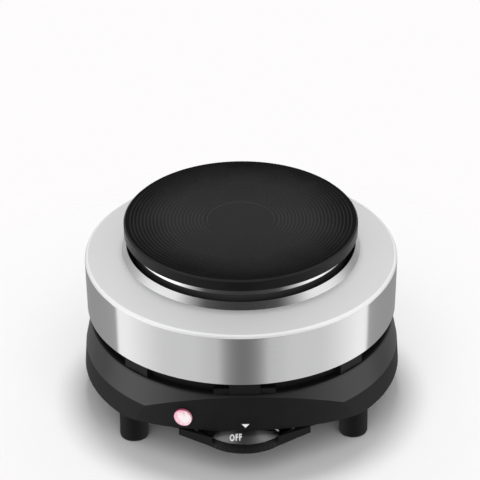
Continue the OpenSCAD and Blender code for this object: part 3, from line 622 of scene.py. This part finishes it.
class HOTPLATE_OT_stage(bpy.types.Operator):
    """Sets up the floor, the light of the room, the soft box and the camera"""

    bl_idname = "hot_plate.stage"
    bl_label = "Photo Stage"

    def execute(self, context):
        sizes = context.scene.hot_plate_stage
        context.scene.view_settings.view_transform = "Standard"
        self.lay_floor(context, sizes)
        self.light_room(context, sizes)
        self.hang_soft_box(context, sizes)
        self.stand_camera(context, sizes)
        return {"FINISHED"}

    def lay_floor(self, context, sizes):
        """A pale floor that fades into the white backdrop where only the camera sees it."""
        half = sizes.floor / 2
        corners = [(-half, -half, 0), (half, -half, 0), (half, half, 0), (-half, half, 0)]
        mesh = bpy.data.meshes.new("floor")
        mesh.from_pydata(corners, [], [(0, 1, 2, 3)])
        floor = bpy.data.objects.new("floor", mesh)
        context.scene.collection.objects.link(floor)
        material, sheet, shader = new_finish("pale_floor")
        shader.inputs["Base Color"].default_value = (*sizes.floor_colour, 1)
        shader.inputs["Roughness"].default_value = 0.9
        shader.inputs["Specular IOR Level"].default_value = 0.0
        span = sheet.math("SUBTRACT", sheet.radius(sheet.place()), sizes.near)
        fade = sheet.math("DIVIDE", span, sizes.far - sizes.near, clamp=True)
        seen = sheet.add("ShaderNodeLightPath").outputs["Is Camera Ray"]
        clear = sheet.add("ShaderNodeBsdfTransparent")
        mix = sheet.add("ShaderNodeMixShader")
        sheet.join(sheet.math("MULTIPLY", fade, seen), mix.inputs["Fac"])
        sheet.join(shader.outputs[0], mix.inputs[1])
        sheet.join(clear.outputs[0], mix.inputs[2])
        out = next(n for n in material.node_tree.nodes if n.type == "OUTPUT_MATERIAL")
        sheet.join(mix.outputs[0], out.inputs["Surface"])
        mesh.materials.append(material)
        floor.visible_glossy = False

    def light_room(self, context, sizes):
        """A round studio: bright sides, a pale back, and dark behind and below the camera."""
        world = bpy.data.worlds.new("studio")
        world.use_nodes = True
        context.scene.world = world
        sheet = NodeSheet(world.node_tree)
        back = next(n for n in world.node_tree.nodes if n.type == "BACKGROUND")
        out = next(n for n in world.node_tree.nodes if n.type == "OUTPUT_WORLD")
        way = sheet.add("ShaderNodeSeparateXYZ")
        sheet.join(sheet.add("ShaderNodeTexCoord").outputs["Generated"], way.inputs[0])
        x, y, z = way.outputs
        spread = sheet.math("ADD", sheet.math("MULTIPLY", x, x), sheet.math("MULTIPLY", y, y))
        flat = sheet.math("MAXIMUM", sheet.math("SQRT", spread), 0.001)
        # From 0 at the back of the studio to 1 at its front
        front = sheet.math("ADD", sheet.math("MULTIPLY", sheet.math("DIVIDE", y, flat), -0.5), 0.5)
        # From 0 straight below to 1 straight above, 0.5 at the horizon
        level = sheet.math("ADD", sheet.math("MULTIPLY", z, 0.5), 0.5)
        # Wall below the horizon, which the drum mirrors: dark back, bright sides, dark strip in front
        low = self.greys(sheet, front, (
            (0.0, 0.33), (0.338, 0.42), (0.35, 1.16), (0.45, 1.12), (0.55, 1.0),
            (0.73, 0.78), (0.905, 0.75), (0.972, 0.64), (0.991, 0.33), (1.0, 0.22)))
        # Wall above the horizon, which the sloping faces mirror
        high = self.greys(sheet, front, (
            (0.0, 0.84), (0.30, 0.86), (0.50, 1.25), (0.70, 1.25),
            (0.80, 0.6), (0.90, 0.10), (1.0, 0.06)))
        # Ceiling with a dark strip over the middle, which the dial's cone mirrors
        crown = sheet.math("ADD", z, sheet.math("MULTIPLY", y, 0.35))
        top = self.greys(sheet, crown, ((0.89, 0.0), (0.99, 1.0)))
        aside = sheet.math("ABSOLUTE", x)
        ceiling = self.greys(sheet, aside, ((0.0, 0.12), (0.08, 0.16), (0.24, 1.5), (1.0, 1.3)))
        sky = self.blend(sheet, top, high, ceiling)
        lift = self.greys(sheet, level, ((0.46, 0.0), (0.56, 1.0)))
        room = self.blend(sheet, lift, low, sky)
        # Bright band at the horizon, a little dimmer on the right, which the trim ring mirrors
        rim = self.greys(sheet, front, (
            (0.0, 0.5), (0.33, 0.62), (0.55, 2.1), (0.66, 2.1),
            (0.79, 1.5), (0.94, 0.35), (1.0, 0.2)))
        dim = sheet.math("ADD", sheet.math("MULTIPLY", x, -0.16), 0.9)
        rim = sheet.vector("MULTIPLY", rim, self.same(sheet, dim))
        horizon = self.greys(sheet, level, ((0.30, 0.0), (0.37, 1.0), (0.52, 1.0), (0.60, 0.0)))
        room = self.blend(sheet, horizon, room, rim)
        sheet.join(room, back.inputs["Color"])
        back.inputs["Strength"].default_value = sizes.room
        fill = sheet.add("ShaderNodeBackground")
        fill.inputs["Color"].default_value = (*WHITE, 1)
        fill.inputs["Strength"].default_value = sizes.fill
        white = sheet.add("ShaderNodeBackground")
        white.inputs["Color"].default_value = (*sizes.backdrop, 1)
        path = sheet.add("ShaderNodeLightPath")
        lit = sheet.add("ShaderNodeMixShader")
        sheet.join(path.outputs["Is Glossy Ray"], lit.inputs["Fac"])
        sheet.join(fill.outputs[0], lit.inputs[1])
        sheet.join(back.outputs[0], lit.inputs[2])
        mix = sheet.add("ShaderNodeMixShader")
        sheet.join(path.outputs["Is Camera Ray"], mix.inputs["Fac"])
        sheet.join(lit.outputs[0], mix.inputs[1])
        sheet.join(white.outputs[0], mix.inputs[2])
        sheet.join(mix.outputs[0], out.inputs["Surface"])

    def greys(self, sheet, value, stops):
        """Ramp of greys from pairs of place and brightness."""
        return sheet.ramp(value, [(place, (tone, tone, tone)) for place, tone in stops])

    def same(self, sheet, value):
        """The same value on all three channels."""
        node = sheet.add("ShaderNodeCombineXYZ")
        for socket in node.inputs:
            sheet.join(value, socket)
        return node.outputs[0]

    def blend(self, sheet, factor, first, second):
        """Colour between a first and a second one."""
        node = sheet.add("ShaderNodeMix", data_type="RGBA")
        sheet.join(factor, node.inputs["Factor"])
        sheet.feed(first, node.inputs["A"])
        sheet.feed(second, node.inputs["B"])
        return node.outputs["Result"]

    def hang_soft_box(self, context, sizes):
        """A wide light from the front and a round soft box overhead, both for matt surfaces only."""
        wide = bpy.data.lights.new("front_light", "SUN")
        wide.angle = sizes.key_width
        wide.energy = sizes.key
        box = bpy.data.lights.new("soft_box", "AREA")
        box.shape = "DISK"
        box.size = sizes.box_width
        box.energy = sizes.box_power
        for light, tilt, place in (
                (wide, sizes.key_tilt, (0, 0, 1)),
                (box, 0, (0, sizes.box_back, sizes.box_height))):
            lamp = bpy.data.objects.new(light.name, light)
            lamp.rotation_euler = (tilt, 0, 0)
            lamp.location = place
            lamp.visible_glossy = False
            context.scene.collection.objects.link(lamp)

    def stand_camera(self, context, sizes):
        """A long-lens camera that looks at its aim from the chosen side and height."""
        data = bpy.data.cameras.new("camera")
        data.lens = sizes.lens
        data.sensor_width = SENSOR_MM
        data.clip_start, data.clip_end = 0.05, 50.0
        camera = bpy.data.objects.new("camera", data)
        flat = math.cos(sizes.elevation)
        back = Vector((
            math.sin(sizes.azimuth) * flat,
            -math.cos(sizes.azimuth) * flat,
            math.sin(sizes.elevation)))
        camera.location = Vector(sizes.aim) + back * sizes.distance
        camera.rotation_mode = "QUATERNION"
        turn = Quaternion((0, 0, 1), -sizes.roll)
        camera.rotation_quaternion = (-back).to_track_quat("-Z", "Y") @ turn
        context.scene.collection.objects.link(camera)
        context.scene.camera = camera


class HOTPLATE_OT_plate(bpy.types.Operator):
    """Finishes the cast plate and the bright ring under its rim"""

    bl_idname = "hot_plate.plate"
    bl_label = "Cast Plate"

    def execute(self, context):
        colours = context.scene.hot_plate_finishes
        black = colours.plate
        dress_faces("hot_plate", {
            "face": cast_black("cast_black", black, roughness=0.58, specular=0.034),
            # Painted highlight: the rim's chamfer is a lighter black that stands in for its highlight
            # line
            "edge": moulded_black(
                "painted_edge_highlight", shade(black, 2.6),
                roughness=0.45, grain_scale=1500, grain=0.2, specular=0.16),
            "groove": cast_black("turned_groove", shade(black, 0.95), roughness=0.42, specular=0.095),
            # Painted highlight: the recess edge is a much lighter black that stands in for the arc of
            # light on it
            "recess": moulded_black(
                "painted_recess_highlight", shade(black, 7.0),
                roughness=0.5, grain_scale=1500, grain=0.2, specular=0.1),
            "side": moulded_black(
                "turned_side", shade(black, 0.9),
                roughness=0.3, grain_scale=1500, grain=0.1, specular=0.17),
            "skirt": moulded_black(
                "scaled_skirt", SCALE_GREY,
                roughness=0.6, grain_scale=900, grain=0.3, specular=0.3),
        }, self.zone)
        dress(bright_ring(shade(colours.trim, 0.75)), "trim_ring")
        return {"FINISHED"}

    def zone(self, middle, normal):
        """Names the zone: cast face, groove flanks, recess edge, and the rim's edge, side and skirt."""
        upright, level = 0.2, 0.98
        reach = math.hypot(middle.x, middle.y)
        if abs(normal.z) < upright and reach > SKIRT_R:
            return "side" if reach > RIM_R else "skirt"
        if not upright < normal.z < level:
            return "face"
        if reach < RECESS_R:
            return "recess"
        return "groove" if reach < GROOVES_R else "edge"


class HOTPLATE_OT_shell(bpy.types.Operator):
    """Finishes the satin steel drum"""

    bl_idname = "hot_plate.shell"
    bl_label = "Steel Shell"

    def execute(self, context):
        colours = context.scene.hot_plate_finishes
        steel = colours.steel
        dress_faces("steel_shell", {
            "wall": spun_steel(
                "satin_wall", steel,
                roughness=0.12, line=0.05, anisotropy=0.6, haze_spread=0.02),
            "top": spun_steel(
                "satin_top", shade(steel, 0.96),
                roughness=0.5, line=0.08, anisotropy=0.5, metal=0.4),
            # Painted highlight: the rounded top edge is a paler, half-matt copy of the steel that
            # stands in for its highlight line
            "edge": spun_steel(
                "painted_ridge_highlight", shade(steel, 1.22),
                roughness=0.5, line=0.04, anisotropy=0.0, metal=0.42),
            # Painted shade: the inside faces of the drum are near-black, standing in for the shade
            # inside it
            "inside": plain_metal("shade_black_inside", INSIDE_SHADE_BLACK, roughness=0.5),
            # Painted shade: the collar is the drum's steel darkened, which dims its reflections
            "collar": spun_steel(
                "shaded_spun_collar", shade(steel, 0.85),
                roughness=0.22, line=0.05, anisotropy=0.6),
        }, self.zone)
        return {"FINISHED"}

    def zone(self, middle, normal):
        """Names the zone: wall, top, rounded edge, inside painted near-black as shade, or collar round
        the plate.
        """
        inward, level, upright = -0.2, 0.97, 0.15
        reach = math.hypot(middle.x, middle.y)
        if normal.x * middle.x + normal.y * middle.y < inward * reach:
            return "inside"
        if normal.z > level:
            return "top"
        if reach < COLLAR_R:
            return "collar"
        return "edge" if normal.z > upright else "wall"


class HOTPLATE_OT_base(bpy.types.Operator):
    """Finishes the base, the bottom cover and the feet"""

    bl_idname = "hot_plate.base"
    bl_label = "Base and Feet"

    def execute(self, context):
        colours = context.scene.hot_plate_finishes
        dress_faces("base_housing", {
            # Painted shade: the upright and level faces take a darker, duller copy of the same black as
            # the sloping ledge
            "band": moulded_black(
                "base_band_painted_shade", shade(colours.base, 0.7),
                roughness=0.5, grain_scale=1800, grain=0.14, specular=0.14),
            "slope": moulded_black(
                "base_slope", colours.base,
                roughness=0.34, grain_scale=2200, grain=0.08, specular=0.5),
        }, self.zone)
        # Painted shade: the cover's black paint is darkened further, standing in for the shade under
        # the base
        shaded_paint = moulded_black(
            "shaded_cover_paint", shade(colours.cover, 0.55),
            roughness=0.55, grain_scale=1600, grain=0.14, specular=0.12)
        dress(shaded_paint, "bottom_cover")
        rubber = moulded_black(
            "foot_rubber", shade(colours.foot, 0.6),
            roughness=0.6, grain_scale=1400, grain=0.2, specular=0.15)
        dress(rubber, "foot_front_left", "foot_front_right", "foot_rear_left", "foot_rear_right")
        return {"FINISHED"}

    def zone(self, middle, normal):
        """Names the zone: sloping ledge, or the upright and level faces, which take a darker, duller
        copy of the black as painted shade.
        """
        upright, level = 0.1, 0.8
        return "slope" if upright < normal.z < level else "band"


class HOTPLATE_OT_dial(bpy.types.Operator):
    """Finishes the heat dial and prints its marks on the cone"""

    bl_idname = "hot_plate.dial"
    bl_label = "Heat Dial"

    def execute(self, context):
        colours = context.scene.hot_plate_finishes
        marks = context.scene.hot_plate_marks
        dress_faces("control_dial", {
            "grip": moulded_black(
                "dial_moulding", shade(colours.dial, 0.6),
                roughness=0.4, grain_scale=2600, grain=0.05, specular=0.18),
            "dish": spun_steel("dial_dish", colours.dish, roughness=0.5, line=0.06, anisotropy=0.95),
        }, self.zone)
        ink = printed_ink("dial_ink_painted_glow", colours.marks, lift=0.22)
        points, faces = cone_text(
            marks, marks.word, marks.off_turn, marks.off_height, marks.off_width, lean=0.0)
        put("dial_word", points, faces, ink, "dial")
        for i in range(marks.number_count):
            turn = marks.number_turn + i * marks.number_step
            points, faces = cone_text(marks, str(i + 1), turn, marks.number_height)
            put("dial_number_%d" % (i + 1), points, faces, ink, "dial")
        return {"FINISHED"}

    def zone(self, middle, normal):
        """Names the zone: cone inside the rim, or the moulded grip."""
        steep, level = 0.9, 0.99
        return "dish" if steep < normal.z < level else "grip"


class HOTPLATE_OT_pointer(bpy.types.Operator):
    """Prints the pointer on the front panel"""

    bl_idname = "hot_plate.pointer"
    bl_label = "Pointer"

    def execute(self, context):
        colours = context.scene.hot_plate_finishes
        marks = context.scene.hot_plate_marks
        middle_y = marks.panel_curve - PANEL_FACE
        arc_r = marks.panel_curve + marks.ink
        rows, columns, blunt = 8, 4, 0.02
        points, faces = [], []
        for i in range(rows + 1):
            share = i / rows
            half = marks.pointer_width / 2 * max(share, blunt)
            level = marks.pointer_tip + marks.pointer_height * share
            for k in range(columns + 1):
                x = marks.pointer_shift + half * (2 * k / columns - 1)
                points.append((x, middle_y - math.sqrt(arc_r ** 2 - x * x), level))
        for i in range(rows):
            for k in range(columns):
                a = i * (columns + 1) + k
                b = a + columns + 1
                faces.append((a, a + 1, b + 1, b))
        ink = printed_ink("panel_ink_painted_glow", colours.marks, lift=0.02)
        put("panel_pointer", points, faces, ink, "body")
        return {"FINISHED"}


class HOTPLATE_OT_lamp(bpy.types.Operator):
    """Finishes the lit lamp, its housing and its clip"""

    bl_idname = "hot_plate.lamp"
    bl_label = "Lamp"

    def execute(self, context):
        colours = context.scene.hot_plate_finishes
        dress(lit_lens(colours.glow, colours.glow_rim), "lamp_lens")
        shell = pressed_body("lamp_shell", LAMP_SHELL, roughness=0.45, grain_scale=1200, grain=0.1)
        dress(shell, "lamp_housing")
        dress(plain_metal("spring_clip", SPRING_STEEL, roughness=0.32), "lamp_clip")
        return {"FINISHED"}


class HOTPLATE_OT_inlet(bpy.types.Operator):
    """Finishes the cord inlet, the terminal block and the leads"""

    bl_idname = "hot_plate.inlet"
    bl_label = "Cord Inlet and Leads"

    def execute(self, context):
        rubber = pressed_body("inlet_rubber", RUBBER, roughness=0.6, grain_scale=1500, grain=0.2)
        dress(rubber, "cord_gland")
        nut = moulded_black("inlet_nut", NUT_BLACK, roughness=0.45, grain_scale=1500, grain=0.1)
        dress(nut, "gland_nut")
        dress(fired_ceramic("block_ceramic"), "terminal_block")
        dress(plain_metal("block_brass", BRASS, roughness=0.3), "terminal_screws")
        for name, colour, leads in (
                ("brown_lead", LEAD_BROWN, ("wire_live",)),
                ("black_lead", LEAD_BLACK, ("wire_load", "wire_lamp_supply")),
                ("blue_lead", LEAD_BLUE, ("wire_neutral", "wire_lamp_return"))):
            dress(pressed_body(name, colour, roughness=0.45, grain_scale=2000, grain=0.08), *leads)
        return {"FINISHED"}


class HOTPLATE_OT_heater(bpy.types.Operator):
    """Finishes the heater, its pan, its pad and its shield"""

    bl_idname = "hot_plate.heater"
    bl_label = "Heater"

    def execute(self, context):
        sheath = plain_metal("heater_sheath", HEATER_SHEATH, roughness=0.45, haze_scale=90)
        dress(sheath, "heater_tube")
        dress(fired_ceramic("ferrule_ceramic"), "heater_ferrules")
        pad = pressed_body("fibre_pad", FIBRE, roughness=0.85, grain_scale=700, grain=0.6)
        dress(pad, "insulation_pad")
        dress(plain_metal("aluminised_sheet", ALUMINISED, roughness=0.34), "heat_shield")
        # Painted shade: the heat pan is near-black so that the gap beside the plate reads as shade
        dress(plain_metal("pan_shade_black", PAN_SHADE_BLACK, roughness=0.6), "heat_pan")
        return {"FINISHED"}


class HOTPLATE_OT_hardware(bpy.types.Operator):
    """Finishes the tie bolt, the screws and the thermostat"""

    bl_idname = "hot_plate.hardware"
    bl_label = "Hardware and Thermostat"

    def execute(self, context):
        dress(
            plain_metal("zinc_plate", ZINC, roughness=0.34),
            "tie_bolt", "upper_spacer", "lower_spacer", "tie_washer", "tie_nut", "foot_screws",
            "thermostat_bracket", "bracket_screws", "leaf_screw", "dial_screw")
        dress(
            plain_metal("plain_brass", BRASS, roughness=0.3),
            "thermostat_bush", "bush_nut", "contact_leaf", "thermostat_shaft")
        dress(fired_ceramic("thermostat_ceramic"), "thermostat_body", "shaft_cam")
        return {"FINISHED"}


class HOTPLATE_PT_sidebar(bpy.types.Panel):
    """Lists the steps that dress the hot plate"""

    bl_idname = "HOTPLATE_PT_sidebar"
    bl_label = "Hot Plate"
    bl_space_type = "VIEW_3D"
    bl_region_type = "UI"
    bl_category = "Hot Plate"

    def draw(self, context):
        column = self.layout.column(align=True)
        for step in STEPS:
            column.operator(step.bl_idname)


STEPS = (
    HOTPLATE_OT_stage,
    HOTPLATE_OT_plate,
    HOTPLATE_OT_shell,
    HOTPLATE_OT_base,
    HOTPLATE_OT_dial,
    HOTPLATE_OT_pointer,
    HOTPLATE_OT_lamp,
    HOTPLATE_OT_inlet,
    HOTPLATE_OT_heater,
    HOTPLATE_OT_hardware,
)
GROUPS = {
    "hot_plate_finishes": HotPlateFinishes,
    "hot_plate_marks": HotPlateMarks,
    "hot_plate_stage": HotPlateStage,
}
CLASSES = (*GROUPS.values(), *STEPS, HOTPLATE_PT_sidebar)


def register():
    for cls in CLASSES:
        bpy.utils.register_class(cls)
    for name, group in GROUPS.items():
        setattr(bpy.types.Scene, name, PointerProperty(type=group))


def unregister():
    for name in GROUPS:
        delattr(bpy.types.Scene, name)
    for cls in reversed(CLASSES):
        bpy.utils.unregister_class(cls)


def main():
    register()
    bpy.ops.hot_plate.stage()
    bpy.ops.hot_plate.plate()
    bpy.ops.hot_plate.shell()
    bpy.ops.hot_plate.base()
    bpy.ops.hot_plate.dial()
    bpy.ops.hot_plate.pointer()
    bpy.ops.hot_plate.lamp()
    bpy.ops.hot_plate.inlet()
    bpy.ops.hot_plate.heater()
    bpy.ops.hot_plate.hardware()


if __name__ == "__main__":
    main()
